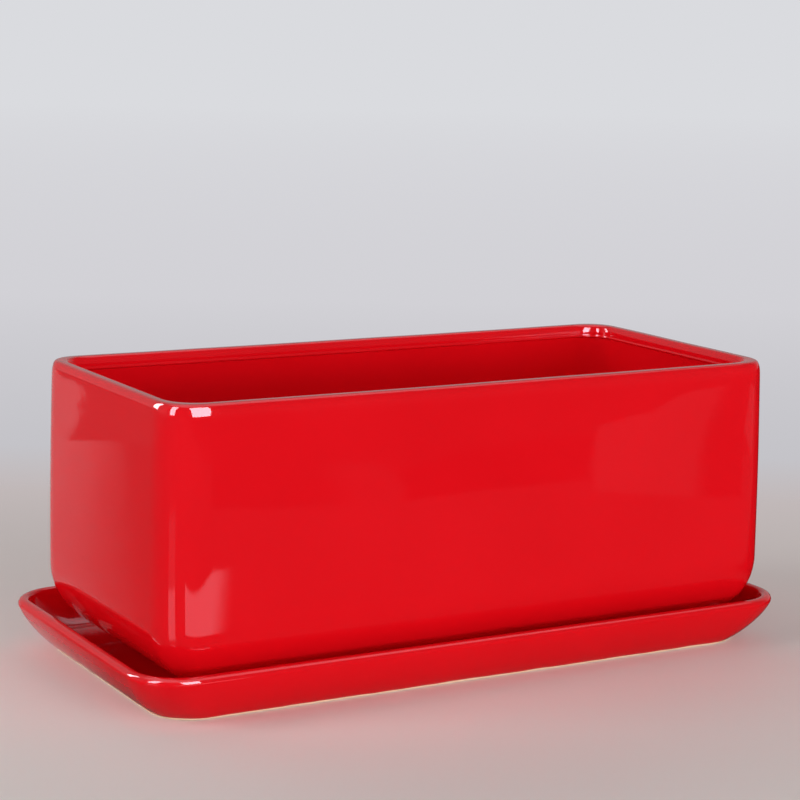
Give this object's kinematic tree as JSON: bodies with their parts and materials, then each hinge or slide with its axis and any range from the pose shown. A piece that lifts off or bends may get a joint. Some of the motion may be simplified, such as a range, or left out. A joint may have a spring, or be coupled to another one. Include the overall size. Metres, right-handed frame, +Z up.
{
  "type": "bonsai pot with saucer",
  "caption": "Rectangular red glazed ceramic plant pot with rounded edges, standing in its matching flared drip saucer, from which it lifts off.",
  "frame": {"origin": "centre of the saucer's length and width, on the surface that it stands on", "axes": "+X along the long sides, +Y from the front of the picture towards the back, +Z up"},
  "size_m": [0.3216, 0.1656, 0.1312],
  "materials": {
    "pot_red_glaze": "glossy",
    "saucer_red_glaze": "glossy"
  },
  "bodies": {
    "saucer": {"saucer": "saucer_red_glaze"},
    "pot": {"pot": "pot_red_glaze"}
  },
  "joints": [
    {"name": "pot_lift", "type": "slide", "parent": "saucer", "child": "pot", "axis": [0, 0, 1], "range_m": [0, 0.15]}
  ]
}
